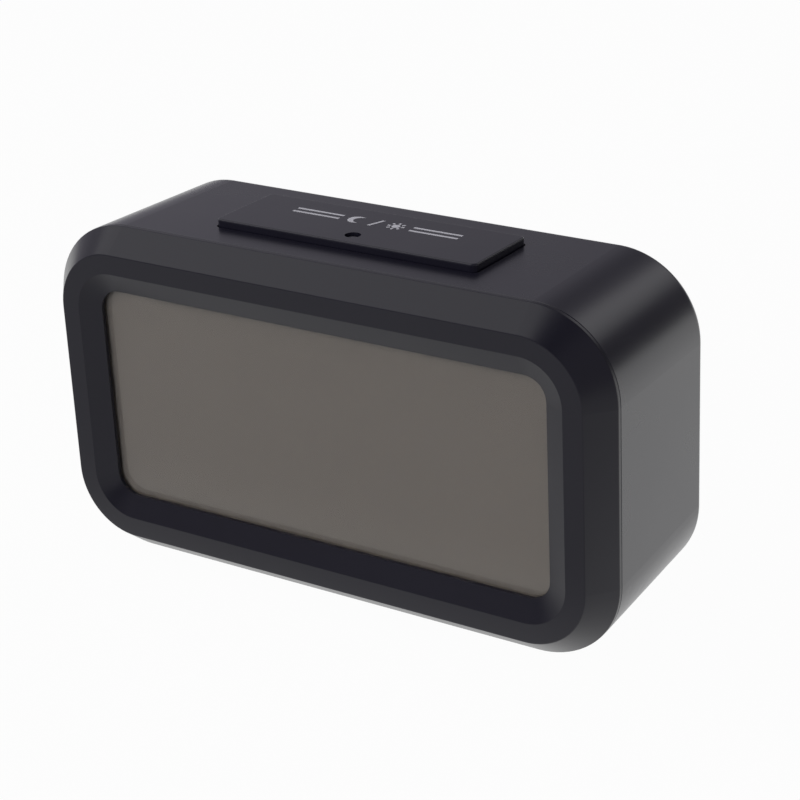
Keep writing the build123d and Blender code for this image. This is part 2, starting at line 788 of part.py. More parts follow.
# Rear keys with their plungers
key_names = ["mode", "set", "up", "down"]
for key_name, key_place in zip(key_names, key_places):
    with BuildPart() as key:
        with BuildSketch(rear_plane(key_flange_top)):
            with Locations(key_place):
                SlotOverall(key_width + 2 * key_flange, key_height + 2 * key_flange)
        extrude(amount=-key_flange_thickness)
        with BuildSketch(rear_plane(key_flange_top)):
            with Locations(key_place):
                SlotOverall(key_width, key_height)
        extrude(amount=panel_floor + key_rise - key_flange_top)
        fillet(key.faces().sort_by(Axis.Y)[-1].edges(), key_edge_radius)
        rods(rear_plane(key_flange_bottom), [key_place], key_pusher_radius, key_pusher_reach)
    finish(key, f"{key_name}_key")

    with BuildPart() as plunger:
        plungers(rear_plane, key_plunger_top, [key_place])
    finish(plunger, f"{key_name}_plunger")

with BuildPart() as key_switches:
    switch_bodies(rear_plane, key_switch_top, key_places)
finish(key_switches, "key_switches")

with BuildPart() as key_board:
    slab(rear_plane(key_board_top), key_board_width, key_board_height, small_board_thickness,
         middle=panel_middle)
    rods(rear_plane(key_board_top), key_post_places, screw_radius + screw_clearance, small_board_thickness,
         mode=Mode.SUBTRACT)
finish(key_board, "key_board")

with BuildPart() as key_screws:
    small_screws(rear_plane, key_board_bottom, key_post_places)
finish(key_screws, "key_screws")

# Slide switch, with a knob whose flange runs under the panel
with BuildPart() as switch_knob:
    slab(rear_plane(key_flange_top), knob_flange_width, knob_flange_height, knob_flange_thickness,
         middle=(knob_rest, panel_up))
    slab(rear_plane(panel_floor + knob_rise), knob_width, knob_height, panel_floor + knob_rise - key_flange_top,
         middle=(knob_rest, panel_up))
    fillet(switch_knob.faces().sort_by(Axis.Y)[-1].edges(), key_edge_radius)
    tongue_start = key_flange_top - knob_flange_thickness
    slab(rear_plane(tongue_start), knob_tongue_width, knob_tongue_width,
         tongue_start - key_switch_top + knob_tongue_sink, middle=(knob_rest, panel_up))
finish(switch_knob, "switch_knob")

with BuildPart() as slide_switch:
    slab(rear_plane(key_switch_top), slide_body_width, slide_body_height, switch_height,
         middle=(knob_place, panel_up))
    slab(rear_plane(key_switch_top), knob_tongue_width + knob_travel + 2 * key_gap,
         knob_tongue_width + 2 * key_gap, knob_tongue_sink + slide_floor, middle=(knob_place, panel_up),
         mode=Mode.SUBTRACT)
finish(slide_switch, "slide_switch")

# Battery door: round lower edge, two hooked tabs and a latch nose drawn pressed in
with BuildPart() as battery_door:
    door_plate(0, door_thickness)
    lower_edges = battery_door.edges().filter_by(Axis.X).group_by(Axis.Z)[0]
    fillet(lower_edges, (door_thickness - door_edge_land) / 2)
    for place in tab_places:
        neck_middle = (place, door_bottom + door_thickness / 2 + tab_neck / 2)
        slab(rear_plane(-door_thickness), tab_width, tab_neck, -door_thickness - tab_bottom, middle=neck_middle)
        tab_rise = tab_drop + door_thickness / 2 + tab_neck
        slab(rear_plane(tab_top), tab_width, tab_rise, tab_thickness,
             middle=(place, door_bottom - tab_drop + tab_rise / 2))
    with BuildSketch(rear_plane(0)):
        with Locations(*[(0, door_top - grip_drop - row * grip_pitch) for row in range(grip_count)]):
            SlotOverall(grip_width, grip_height)
    extrude(amount=-grip_depth, mode=Mode.SUBTRACT)
    latch_face = door_top - latch_nose
    slab(rear_plane(-door_thickness), latch_width, latch_thickness, latch_reach,
         middle=(0, latch_face - latch_thickness / 2))
    nose_level = -door_thickness - latch_reach + latch_thickness
    slab(rear_plane(nose_level), latch_width, latch_nose, latch_thickness,
         middle=(0, latch_face + latch_nose / 2))
finish(battery_door, "battery_door")

# Battery cells, lying side by side and turned about in turn
cell_turns = {-1: 1, 0: -1, 1: 1}
bay_end = bay_length / 2 - plate_thickness
with BuildPart() as battery_cells:
    for row, turn in cell_turns.items():
        with BuildSketch(cell_plane(turn * (spring_length - bay_end), row)):
            Circle(cell_radius)
        extrude(amount=turn * (cell_length - cell_nub_length))
        with BuildSketch(cell_plane(turn * (bay_end - cell_nub_length), row)):
            Circle(cell_nub_radius)
        extrude(amount=turn * cell_nub_length)
finish(battery_cells, "battery_cells")

# Contact plates: one alone and one bridge at each end, the lone ones with a solder tag through the floor
with BuildPart() as battery_plates:
    plate_middle = bay_floor + plate_height / 2 - cell_level
    for side in (-1, 1):
        with BuildSketch(cell_plane(side * bay_end, -side)):
            with Locations((plate_middle, 0)):
                Rectangle(plate_height, plate_width)
            tag_length = bay_wall + tag_reach
            with Locations((bay_floor - tag_length / 2 - cell_level, 0)):
                Rectangle(tag_length, tag_width)
        extrude(amount=side * plate_thickness)
        with BuildSketch(cell_plane(side * bay_end, side / 2)):
            with Locations((plate_middle, 0)):
                Rectangle(plate_height, plate_width + cell_pitch)
        extrude(amount=side * plate_thickness)
finish(battery_plates, "battery_plates")


def spring_knots(row, turn):
    """Points and tangents of a conical spring, a quarter turn apart, from its plate to its cell."""
    middle = cell_plane(0, row).origin
    end_room = spring_wire_radius + spring_end_gap
    rise = spring_length - 2 * end_room
    shrink = spring_tip_radius - spring_base_radius
    quarters = 4 * spring_turns
    knots = []
    for quarter in range(quarters + 1):
        along = quarter / quarters
        angle = quarter * pi / 2
        radius = spring_base_radius + shrink * along
        across = turn * (end_room + rise * along - bay_end)
        point = Vector(across, middle.Y + radius * cos(angle), middle.Z + radius * sin(angle))
        swing = 2 * pi * spring_turns * radius
        sideways = shrink * cos(angle) - swing * sin(angle)
        upwards = shrink * sin(angle) + swing * cos(angle)
        knots.append((point, Vector(turn * rise, sideways, upwards).normalized()))
    return knots


def biarc(start, end):
    """Two arcs that join two knots along their tangents."""
    (first, leave), (last, reach) = start, end
    chord = last - first
    both = leave + reach
    spread = 2 * (1 - leave.dot(reach))
    pull = chord.dot(both)
    arm = (hypot(pull, (spread * chord.dot(chord)) ** 0.5) - pull) / spread
    before = first + leave * arm
    after = last - reach * arm
    joint = (before + after) * 0.5
    TangentArc(first, joint, tangent=leave)
    TangentArc(joint, last, tangent=after - before)


# Battery springs
with BuildPart() as battery_springs:
    for row, turn in cell_turns.items():
        knots = spring_knots(row, turn)
        with BuildLine() as coil:
            for start, end in zip(knots, knots[1:]):
                biarc(start, end)
        with BuildSketch(Plane(origin=knots[0][0], z_dir=knots[0][1])):
            Circle(spring_wire_radius)
        sweep(path=coil.wires()[0])
    steps = 60 * spring_turns
    trail = [coil.wires()[0].position_at(step / steps) for step in range(steps + 1)]
    apart = steps // (2 * spring_turns)
    least = min((a - b).length for i, a in enumerate(trail) for b in trail[i + apart:])
    print("battery spring, least gap to itself", round(least - 2 * spring_wire_radius, 3))
finish(battery_springs, "battery_springs")

# Sounder disc, glued on its ring
with BuildPart() as sounder_disc:
    disc_face = -(case_wall + sounder_ring_height)
    rods(rear_plane(disc_face), [sounder_place], sounder_disc_radius, sounder_disc_thickness)
    rods(rear_plane(disc_face - sounder_disc_thickness), [sounder_place], sounder_chip_radius,
         sounder_chip_thickness)
finish(sounder_disc, "sounder_disc")


# Wires and ribbons from the rear parts forward to the main board
def slanted_route(start, end):
    """Points of a lead that leaves one board straight forward, slants and meets another one square."""
    run = Vector(0, (end.Y - start.Y) / 3, 0)
    return [start, start + run, end - run, end]


def bend_radii(points):
    """A radius for each inner point of a route, as large as its two runs leave room for."""
    radii = []
    for before, here, after in zip(points, points[1:], points[2:]):
        turn = radians((here - before).get_angle(after - here))
        run = min((here - before).length, (after - here).length)
        radii.append(bend_share * run / tan(turn / 2))
    print("bend radii", [round(radius, 2) for radius in radii])
    return radii


def lead(points, flat=False):
    """A round wire or a flat ribbon along a route, with wide bends."""
    with BuildLine() as path:
        FilletPolyline(*points, radius=bend_radii(points))
    with BuildSketch(Plane(origin=points[0], x_dir=(1, 0, 0), z_dir=points[1] - points[0])) as profile:
        if flat:
            Rectangle(ribbon_width, ribbon_thickness)
        else:
            Circle(wire_radius)
    sweep(profile.sketch, path=path.wires()[0])


board_level = board_back - case_depth / 2
tag_level = case_depth / 2 + bay_floor - bay_wall - tag_reach
tag_across = (bay_length - plate_thickness) / 2
for lead_name, side in (("positive_lead", 1), ("negative_lead", -1)):
    with BuildPart() as battery_lead:
        lead_height = mid_height - bay_drop - side * cell_pitch
        lead_start = Vector(side * tag_across, tag_level, lead_height)
        lead_end = Vector(side * (tag_across - lead_shift), board_level, lead_height)
        lead(slanted_route(lead_start, lead_end))
    finish(battery_lead, lead_name)

with BuildPart() as sounder_leads:
    disc_level = case_depth / 2 + disc_face - sounder_disc_thickness - sounder_chip_thickness
    for side in (-1, 1):
        lead_height = mid_height - sounder_drop + side * sounder_chip_radius / 2
        lead_start = Vector(-sounder_across, disc_level, lead_height)
        lead_end = Vector(lead_shift - sounder_across, board_level, lead_height)
        lead(slanted_route(lead_start, lead_end))
finish(sounder_leads, "sounder_leads")

with BuildPart() as key_ribbon:
    ribbon_height = mid_height + panel_up - key_board_height / 2 + ribbon_edge
    ribbon_start = Vector(ribbon_spread, case_depth / 2 + key_board_bottom, ribbon_height)
    ribbon_end = Vector(ribbon_spread, board_level, ribbon_height - lead_shift)
    lead(slanted_route(ribbon_start, ribbon_end), flat=True)
finish(key_ribbon, "key_ribbon")

with BuildPart() as snooze_ribbon:
    aside = Vector(-ribbon_spread, 0, 0)
    ribbon_start = top_plane(snooze_board_bottom).origin + aside
    ribbon_bend = top_plane(snooze_board_bottom - ribbon_drop).origin + aside
    ribbon_end = Vector(ribbon_bend.X, board_level, ribbon_bend.Z)
    lead([ribbon_start, ribbon_bend, ribbon_end], flat=True)
finish(snooze_ribbon, "snooze_ribbon")
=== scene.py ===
import json
import math

import bmesh
import bpy
from mathutils import Matrix, Vector


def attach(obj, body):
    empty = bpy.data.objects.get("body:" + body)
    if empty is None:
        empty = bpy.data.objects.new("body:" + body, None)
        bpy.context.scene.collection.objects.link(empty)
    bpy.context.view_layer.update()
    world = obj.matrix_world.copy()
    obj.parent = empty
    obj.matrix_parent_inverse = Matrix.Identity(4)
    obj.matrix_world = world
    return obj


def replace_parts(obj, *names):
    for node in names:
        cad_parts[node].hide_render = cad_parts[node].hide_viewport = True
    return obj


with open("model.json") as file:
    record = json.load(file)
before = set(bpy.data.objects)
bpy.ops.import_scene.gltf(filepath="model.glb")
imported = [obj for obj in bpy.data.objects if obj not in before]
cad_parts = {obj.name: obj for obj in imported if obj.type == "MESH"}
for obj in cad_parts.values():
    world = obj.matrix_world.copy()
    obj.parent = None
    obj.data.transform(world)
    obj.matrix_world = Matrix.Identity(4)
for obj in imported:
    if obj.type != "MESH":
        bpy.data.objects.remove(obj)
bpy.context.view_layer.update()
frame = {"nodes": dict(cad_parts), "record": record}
cad = frame["nodes"]
mm = 0.001
print("frame loaded:", len(cad), "nodes")


# colours, nodes and materials
def linear(hexColour):  # sRGB hex to linear light
    channels = [int(hexColour[i:i + 2], 16) / 255 for i in (0, 2, 4)]
    return [c / 12.92 if c <= 0.04045 else ((c + 0.055) / 1.055) ** 2.4 for c in channels] + [1.0]


def add(tree, kind, settings=None, links=None):  # one node, with its settings and what feeds it
    node = tree.nodes.new(kind)
    for name, value in (settings or {}).items():
        if isinstance(name, str) and hasattr(node, name):
            setattr(node, name, value)
        else:
            node.inputs[name].default_value = value
    for socket, source in (links or {}).items():
        tree.links.new(source, node.inputs[socket])
    return node


def perMetre(size):  # texture scale that gives features of a size in millimetres
    return 1 / (size * mm)


def bandsPerMetre(pitch):  # wave texture scale for bands of a pitch in millimetres
    return math.pi / 10 / (pitch * mm)


shaderSockets = {
    "ior": "IOR",
    "metallic": "Metallic",
    "specular": "Specular IOR Level",
    "coat": "Coat Weight",
    "transmission": "Transmission Weight",
}


def newMaterial(name, **fixed):  # a Principled shader on its output, with its constant values
    material = bpy.data.materials.new(name)
    material.use_nodes = True
    tree = material.node_tree
    tree.nodes.clear()
    shader = add(tree, "ShaderNodeBsdfPrincipled")
    add(tree, "ShaderNodeOutputMaterial", links={"Surface": shader.outputs[0]})
    place = add(tree, "ShaderNodeTexCoord").outputs["Object"]
    for socket, value in fixed.items():
        shader.inputs[shaderSockets[socket]].default_value = value
    return material, tree, shader, place


# two close colours in soft patches, an uneven sheen, and a fine grain that is felt more than seen
def mottle(parts, colours, patch, roughness, grain=0.3, relief=0.1, depth=0.02):
    material, tree, shader, place = parts
    clouds = add(tree, "ShaderNodeTexNoise", {"Scale": perMetre(patch), "Detail": 3.0}, {"Vector": place})
    tint = add(tree, "ShaderNodeMix", {"data_type": "RGBA", 6: linear(colours[0]), 7: linear(colours[1])},
               {0: clouds.outputs[0]})
    sheen = add(tree, "ShaderNodeMapRange", {"To Min": roughness[0], "To Max": roughness[1]},
                {"Value": clouds.outputs[0]})
    skin = add(tree, "ShaderNodeTexNoise", {"Scale": perMetre(grain), "Detail": 2.0}, {"Vector": place})
    bump = add(tree, "ShaderNodeBump", {"Strength": relief, "Distance": depth * mm}, {"Height": skin.outputs[0]})
    tree.links.new(tint.outputs[2], shader.inputs["Base Color"])
    tree.links.new(sheen.outputs[0], shader.inputs["Roughness"])
    tree.links.new(bump.outputs[0], shader.inputs["Normal"])
    return material


# moulded ABS: spark-eroded mould skin, so a soft sheen, a fine grain and faint flow clouds
def mouldedAbs(name, colours, roughness, relief, specular):
    return mottle(newMaterial(name, ior=1.52, specular=specular), colours, patch=22, roughness=roughness, grain=0.35,
                  relief=relief)


# clear acrylic sheet: polished, with a faint haze from its hard coat
def clearAcrylic():
    material, tree, shader, place = newMaterial("clearAcrylic", ior=1.49, transmission=1.0)
    haze = add(tree, "ShaderNodeTexNoise", {"Scale": perMetre(9), "Detail": 2.0}, {"Vector": place})
    rough = add(tree, "ShaderNodeMapRange", {"To Min": 0.0, "To Max": 0.01}, {"Value": haze.outputs[0]})
    tree.links.new(rough.outputs[0], shader.inputs["Roughness"])
    shader.inputs["Base Color"].default_value = linear("F6F6F2")
    return material


# float glass of the display cell: clear, a breath of green, faint roller ripple
def floatGlass():
    material, tree, shader, place = newMaterial("floatGlass", ior=1.52, transmission=1.0)
    ripple = add(tree, "ShaderNodeTexNoise", {"Scale": perMetre(14), "Detail": 1.0}, {"Vector": place})
    bump = add(tree, "ShaderNodeBump", {"Strength": 0.05, "Distance": 0.01 * mm}, {"Height": ripple.outputs[0]})
    rough = add(tree, "ShaderNodeMapRange", {"To Min": 0.01, "To Max": 0.03}, {"Value": ripple.outputs[0]})
    tree.links.new(bump.outputs[0], shader.inputs["Normal"])
    tree.links.new(rough.outputs[0], shader.inputs["Roughness"])
    shader.inputs["Base Color"].default_value = linear("E8F0EC")
    return material


# extruded acrylic light plate: milky, with a grid of white ink dots that scatter the lamps' light
def milkyAcrylic():
    parts = newMaterial("milkyAcrylic", ior=1.49)
    material = mottle(parts, ("DDE2E2", "E6EAE9"), 30, (0.18, 0.26))
    tree, shader, place = parts[1:]
    dots = add(tree, "ShaderNodeTexVoronoi", {"Scale": perMetre(1.2), "Randomness": 0.0}, {"Vector": place})
    edge = add(tree, "ShaderNodeMapRange", {"From Min": 0.30, "From Max": 0.34, "To Min": 0.5, "To Max": 0.2},
               {"Value": dots.outputs["Distance"]})
    tree.links.new(edge.outputs[0], shader.inputs["Roughness"])
    return material


# silicone connector: carbon-black and insulating layers in turn, drawn at twice their pitch so that they show
def zebraRubber():
    material, tree, shader, place = newMaterial("zebraRubber", ior=1.42)
    layers = add(tree, "ShaderNodeTexWave", {"bands_direction": "Z", "Scale": bandsPerMetre(0.4)}, {"Vector": place})
    edge = add(tree, "ShaderNodeMapRange", {"From Min": 0.42, "From Max": 0.58}, {"Value": layers.outputs["Fac"]})
    tint = add(tree, "ShaderNodeMix", {"data_type": "RGBA", 6: linear("18181A"), 7: linear("8E8C88")},
               {0: edge.outputs[0]})
    tree.links.new(tint.outputs[2], shader.inputs["Base Color"])
    shader.inputs["Roughness"].default_value = 0.62
    return material


# circuit board: lacquer over copper tracks, which stand out a little paler and shinier
def lacqueredBoard(name, lacquer, track, cell):
    material, tree, shader, place = newMaterial(name, ior=1.55)
    lanes = add(tree, "ShaderNodeTexVoronoi", {"distance": "CHEBYCHEV", "feature": "F1", "Scale": perMetre(cell)},
                {"Vector": place})
    rings = add(tree, "ShaderNodeMath", {"operation": "PINGPONG", 1: 0.12}, {0: lanes.outputs["Distance"]})
    copper = add(tree, "ShaderNodeMapRange", {"From Min": 0.055, "From Max": 0.07}, {"Value": rings.outputs[0]})
    tint = add(tree, "ShaderNodeMix", {"data_type": "RGBA", 6: linear(lacquer), 7: linear(track)},
               {0: copper.outputs[0]})
    sheen = add(tree, "ShaderNodeMapRange", {"To Min": 0.34, "To Max": 0.22}, {"Value": copper.outputs[0]})
    bump = add(tree, "ShaderNodeBump", {"Strength": 0.3, "Distance": 0.03 * mm}, {"Height": copper.outputs[0]})
    tree.links.new(tint.outputs[2], shader.inputs["Base Color"])
    tree.links.new(sheen.outputs[0], shader.inputs["Roughness"])
    tree.links.new(bump.outputs[0], shader.inputs["Normal"])
    return material


# plated or bare metal: rolled or tumbled, so fine streaks or specks in the sheen
def metal(name, colours, roughness, streak, stretch):
    material, tree, shader, place = newMaterial(name, metallic=1.0)
    turned = add(tree, "ShaderNodeMapping", {"Scale": stretch}, {"Vector": place})
    wear = add(tree, "ShaderNodeTexNoise", {"Scale": perMetre(streak), "Detail": 4.0}, {"Vector": turned.outputs[0]})
    tint = add(tree, "ShaderNodeMix", {"data_type": "RGBA", 6: linear(colours[0]), 7: linear(colours[1])},
               {0: wear.outputs[0]})
    sheen = add(tree, "ShaderNodeMapRange", {"To Min": roughness[0], "To Max": roughness[1]},
                {"Value": wear.outputs[0]})
    tree.links.new(tint.outputs[2], shader.inputs["Base Color"])
    tree.links.new(sheen.outputs[0], shader.inputs["Roughness"])
    return material


chipFace = 17.62  # millimetres from the middle, where the sounder's chip ends and its brass begins


# piezo sounder: brass disc, with its fired ceramic chip on the inner side
def piezoBrass():
    material, tree, shader, place = newMaterial("piezoBrass")
    wear = add(tree, "ShaderNodeTexNoise", {"Scale": perMetre(3), "Detail": 4.0}, {"Vector": place})
    depth = add(tree, "ShaderNodeSeparateXYZ", links={0: place})
    chip = add(tree, "ShaderNodeMath", {"operation": "LESS_THAN", 1: chipFace * mm}, {0: depth.outputs[1]})
    brass = add(tree, "ShaderNodeMix", {"data_type": "RGBA", 6: linear("B08A45"), 7: linear("C9A55C")},
                {0: wear.outputs[0]})
    tint = add(tree, "ShaderNodeMix", {"data_type": "RGBA", 7: linear("CFCBC2")},
               {0: chip.outputs[0], 6: brass.outputs[2]})
    shine = add(tree, "ShaderNodeMath", {"operation": "SUBTRACT", 0: 1.0}, {1: chip.outputs[0]})
    sheen = add(tree, "ShaderNodeMapRange", {"To Min": 0.28, "To Max": 0.42}, {"Value": wear.outputs[0]})
    tree.links.new(tint.outputs[2], shader.inputs["Base Color"])
    tree.links.new(shine.outputs[0], shader.inputs["Metallic"])
    tree.links.new(sheen.outputs[0], shader.inputs["Roughness"])
    return material


# flat cable: PVC drawn over side-by-side conductors, so a rib for each
def ribbonPvc():
    parts = newMaterial("ribbonPvc", ior=1.53)
    material = mottle(parts, ("8B8D90", "97999C"), 6, (0.38, 0.48))
    tree, shader, place = parts[1:]
    ribs = add(tree, "ShaderNodeTexWave", {"bands_direction": "X", "Scale": bandsPerMetre(1.27)}, {"Vector": place})
    bump = add(tree, "ShaderNodeBump", {"Strength": 0.8, "Distance": 0.15 * mm}, {"Height": ribs.outputs["Fac"]})
    tree.links.new(bump.outputs[0], shader.inputs["Normal"])
    return material


film = ("645D58", "69625D")  # warm grey of an unlit liquid crystal cell between polarisers
finishes = {
    "case_plastic": mouldedAbs("mouldedAbsCase", ("181723", "1C1B29"), (0.25, 0.31), 0.15, 0.62),
    "bezel_plastic": mouldedAbs("mouldedAbsBezel", ("181721", "1B1A26"), (0.26, 0.33), 0.12, 0.45),
    "key_plastic": mouldedAbs("mouldedAbsKeys", ("171622", "1B1A28"), (0.28, 0.35), 0.12, 0.58),
    "window_clear": clearAcrylic(),
    "polariser_film": mottle(newMaterial("polariserFilm", ior=1.48), film, 40, (0.45, 0.52), 0.4, 0.02, 0.005),
    "glass": floatGlass(),
    "milky_acrylic": milkyAcrylic(),
    "white_plastic": mottle(newMaterial("mouldedPolystyrene", ior=1.59), ("DAD9D4", "E2E1DC"), 15, (0.35, 0.45)),
    "white_film": mottle(newMaterial("pearlPolyesterFilm", ior=1.57), ("E6E7E8", "EEEFF0"), 12, (0.30, 0.40)),
    "lamp_package": mottle(newMaterial("phosphorLampPackage", ior=1.54), ("E8DC9C", "EFE6B8"), 0.8, (0.25, 0.40)),
    "connector_rubber": zebraRubber(),
    "circuit_board": lacqueredBoard("glassEpoxyBoard", "123D22", "1E5A33", 6.0),
    "board_brown": lacqueredBoard("phenolicPaperBoard", "6B4A26", "84602F", 4.0),
    "resin": mottle(newMaterial("pottingResin", ior=1.55, coat=0.3), ("0E0E10", "131316"), 3, (0.16, 0.30), 1.2, 0.3),
    "steel": metal("zincPlatedSteel", ("9A9C9E", "B4B5B4"), (0.28, 0.42), 1.0, (1, 1, 1)),
    "nickel": metal("nickelPlatedStrip", ("B0ADA4", "C6C3BA"), (0.20, 0.34), 1.5, (0.2, 1, 1)),
    "can_aluminium": metal("drawnAluminiumCan", ("B9BBBD", "CBCDCE"), (0.25, 0.38), 1.0, (1, 0.2, 1)),
    "cell_jacket": mottle(newMaterial("shrinkFilmGraphite", ior=1.54), ("33373C", "3A3E44"), 10, (0.26, 0.36)),
    "switch_black": mottle(newMaterial("mouldedNylonBody", ior=1.53), ("1B1B1C", "202021"), 4, (0.42, 0.52)),
    "plunger_black": mottle(newMaterial("mouldedAcetalPlunger", ior=1.48), ("171718", "1D1D1E"), 3, (0.30, 0.40)),
    "sensor_clear": mottle(newMaterial("smokedEpoxyLens", ior=1.55), ("3C3C42", "47474D"), 1.5, (0.10, 0.18), 0.6,
                           0.02),
    "bead": mottle(newMaterial("dippedEpoxyBead", ior=1.55), ("2A1C12", "3A2718"), 1.0, (0.20, 0.32), 0.6, 0.2),
    "sounder_brass": piezoBrass(),
    "foot_rubber": mottle(newMaterial("mouldedRubberFoot", ior=1.52), ("1B1B1C", "242424"), 2, (0.70, 0.82), 0.4,
                          0.4),
    "wire_red": mottle(newMaterial("redPvcInsulation", ior=1.53), ("9E1714", "AC1F1A"), 5, (0.34, 0.44)),
    "wire_black": mottle(newMaterial("blackPvcInsulation", ior=1.53), ("161617", "1C1C1D"), 5, (0.34, 0.44)),
    "ribbon_grey": ribbonPvc(),
}
# thin, matt
ink = mottle(newMaterial("screenInk", ior=1.5), ("DADAE0", "ECECF0"), 0.6, (0.50, 0.60), 0.2, 0.2, 0.01)
paleFilm = mottle(newMaterial("shrinkFilmPale", ior=1.54), ("B9BCC0", "C3C6CA"), 10, (0.26, 0.36))
sealRing = mottle(newMaterial("mouldedNylonSeal", ior=1.53), ("4A4A48", "555552"), 2, (0.45, 0.55))

for row in frame["record"]["subparts"]:
    mesh = cad[row["node"]].data
    mesh.materials.clear()
    mesh.materials.append(finishes[row["material_slot"]])
cad["display_window"].visible_shadow = False  # lamps reach the film through the clear sheet
print("materials:", len(finishes), "finishes, with ink, pale film and seal ring")


def keep(name, bm, materials, body):  # a finished mesh as a piece that moves with a body
    bmesh.ops.recalc_face_normals(bm, faces=bm.faces)
    mesh = bpy.data.meshes.new(name)
    bm.to_mesh(mesh)
    bm.free()
    for material in materials:
        mesh.materials.append(material)
    piece = bpy.data.objects.new(name, mesh)
    bpy.context.collection.objects.link(piece)
    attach(piece, body)
    return piece


# printed pictograms, outlines in millimetres
def disc(x, y, radius, sides=32):
    return [(x + radius * math.cos(2 * math.pi * i / sides), y + radius * math.sin(2 * math.pi * i / sides))
            for i in range(sides)]


def block(x, y, width, height, lean=0.0):
    return [(x + sx * width / 2 + sy * lean / 2, y + sy * height / 2)
            for sx, sy in ((-1, -1), (1, -1), (1, 1), (-1, 1))]


def crescent(x, y, radius, bite, shift, steps=20):  # a disc with a smaller disc taken out of its right side
    chord = (radius ** 2 - bite ** 2 + shift ** 2) / (2 * shift)
    outer = math.acos(chord / radius)
    inner = math.acos((chord - shift) / bite)
    sweep = [outer + (2 * math.pi - 2 * outer) * i / steps for i in range(steps + 1)]
    back = [2 * math.pi - inner - (2 * math.pi - 2 * inner) * i / steps for i in range(1, steps)]
    return ([(x + radius * math.cos(a), y + radius * math.sin(a)) for a in sweep]
            + [(x + shift + bite * math.cos(a), y + bite * math.sin(a)) for a in back])


def rays(x, y, inside, outside, width, count):  # short bars round a centre
    bars = []
    for i in range(count):
        turn = Matrix.Rotation(2 * math.pi * i / count, 2)
        bars.append([tuple(Vector((x, y)) + turn @ Vector(corner))
                     for corner in block((inside + outside) / 2, 0, outside - inside, width)])
    return bars


printing = {
    "thickness": 0.03,
    "barMiddle": (0, 2.557, 76.775),  # middle of the bar's sloping top
    "barBack": (0, 0.99943, -0.033747),  # towards the rear along it
    "barLine": 3.1,  # how far behind the middle the row stands
    "keyFace": 22.3,
    "panelFace": 21.5,
    "keyRow": 60.4,
    "keys": {"mode_key": 34.0, "set_key": 17.0, "up_key": 0.0, "down_key": -17.0},
    "offMark": -27.4,
    "lampMark": -40.0,
    "spread": 4.8,  # from the slash to the moon and to the sun
    "moon": {"radius": 2.0, "bite": 1.7, "shift": 1.05},
    "slash": {"width": 0.65, "height": 4.0, "lean": 1.4},
    "sun": {"middle": 0.95, "inside": 1.3, "outside": 2.05, "width": 0.5},
    "smallSun": {"middle": 0.55, "inside": 0.8, "outside": 1.25, "width": 0.28},
    "rayCount": 8,
    "rule": {"width": 11.6, "height": 0.7},
    "rulePlace": 14.4,
    "ruleLift": 1.0,
    "menuBar": {"width": 3.2, "height": 0.45},
    "menuLift": 1.0,
    "target": (1.5, 1.1, 0.5),  # radii of the ring, its hole and the dot
    "arrow": (1.6, 1.2, 1.5),  # half width, base and tip from the middle
    "offRing": (1.0, 0.65),  # radii of the ring and its hole
}


def printOn(name, outlines, middle, right, up, body):
    right, up = Vector(right), Vector(up)
    out = right.cross(up)
    bm = bmesh.new()

    def loop(outline, level):
        return [bm.verts.new((Vector(middle) + right * x + up * y + out * level) * mm) for x, y in outline]

    def band(one, two):
        for i in range(len(one)):
            j = (i + 1) % len(one)
            bm.faces.new((one[i], one[j], two[j], two[i]))

    for outline, hole in outlines:
        lower, upper = loop(outline, 0), loop(outline, printing["thickness"])
        band(lower, upper)
        if hole:
            lowerHole, upperHole = loop(hole, 0), loop(hole, printing["thickness"])
            band(upperHole, lowerHole)
            band(upper, upperHole)
            band(lowerHole, lower)
        else:
            bm.faces.new(upper)
            bm.faces.new(lower[::-1])
    return keep(name, bm, [ink], body)


def whole(outlines):  # marks with no hole in them
    return [(outline, None) for outline in outlines]


def sunMark(x, y, make):  # a dot with rays round it
    dot = disc(x, y, make["middle"])
    return [dot] + rays(x, y, make["inside"], make["outside"], make["width"], printing["rayCount"])


def printMarks():
    row, spread = printing["barLine"], printing["spread"]
    barMarks = [crescent(-spread, row, **printing["moon"]), block(0, row, **printing["slash"])]
    barMarks += sunMark(spread, row, printing["sun"])
    for side in (-1, 1):
        for lift in (-printing["ruleLift"], printing["ruleLift"]):
            barMarks.append(block(side * printing["rulePlace"], row + lift, **printing["rule"]))
    printOn("snoozeMarks", whole(barMarks), printing["barMiddle"], (1, 0, 0), printing["barBack"], "snooze_bar")
    ring, hole, dot = printing["target"]
    half, base, tip = printing["arrow"]
    menuLift = printing["menuLift"]
    keyMarks = {
        "mode_key": whole(block(0, lift, **printing["menuBar"]) for lift in (-menuLift, 0, menuLift)),
        "set_key": [(disc(0, 0, ring), disc(0, 0, hole)), (disc(0, 0, dot), None)],
        "up_key": whole([[(-half, -base), (half, -base), (0, tip)]]),
        "down_key": whole([[(-half, base), (0, -tip), (half, base)]]),
    }
    for key, marks in keyMarks.items():
        middle = (printing["keys"][key], printing["keyFace"], printing["keyRow"])
        printOn(key.split("_")[0] + "Mark", marks, middle, (-1, 0, 0), (0, 0, 1), key)
    middle = (0, printing["panelFace"], printing["keyRow"])
    ring, hole = (disc(-printing["offMark"], 0, radius) for radius in printing["offRing"])
    nightMarks = [(ring, hole)] + whole(sunMark(-printing["lampMark"], 0, printing["smallSun"]))
    printOn("nightLightMarks", nightMarks, middle, (-1, 0, 0), (0, 0, 1), "case")


printMarks()
print("print made")


